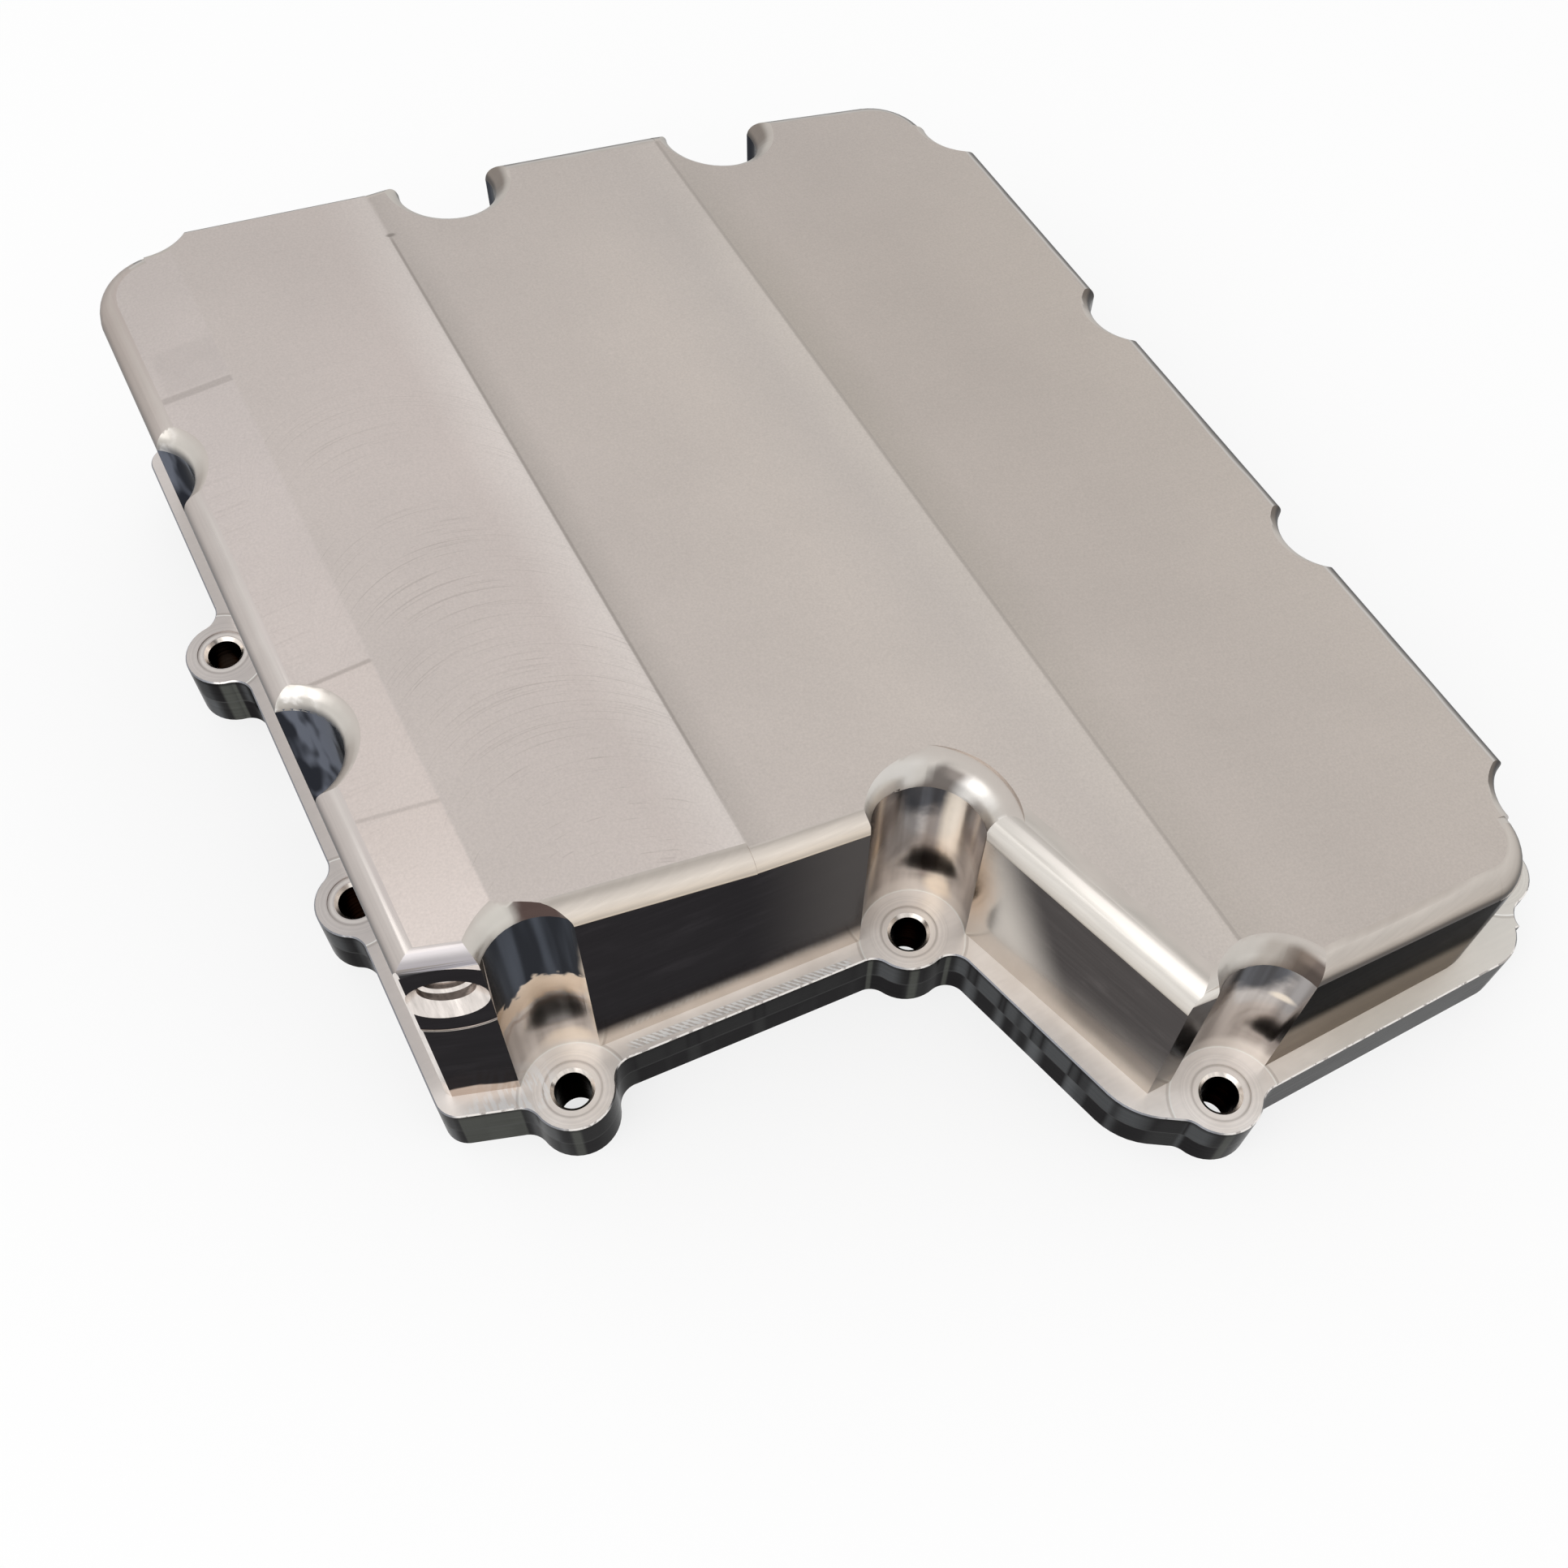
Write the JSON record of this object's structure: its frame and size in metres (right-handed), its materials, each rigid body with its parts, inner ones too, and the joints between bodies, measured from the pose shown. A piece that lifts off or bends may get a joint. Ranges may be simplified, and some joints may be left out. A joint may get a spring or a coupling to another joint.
{
  "type": "oil pan",
  "caption": "Machined aluminium engine oil pan with a bolting flange, a sloping stepped sump, tool pockets over the bolts and a side drain port.",
  "frame": {"origin": "middle of the outer box, on the gasket face", "axes": "+Z from the gasket face up to the sump floor, +X across the pan from the deep side to the shallow side, +Y along the pan from the drain port's end to the other end"},
  "size_m": [0.2058, 0.2416, 0.0656],
  "materials": {
    "pan": "milled, satin on the floor and bright on the walls"
  },
  "bodies": {
    "root": {"oil_pan": "pan"}
  },
  "joints": []
}
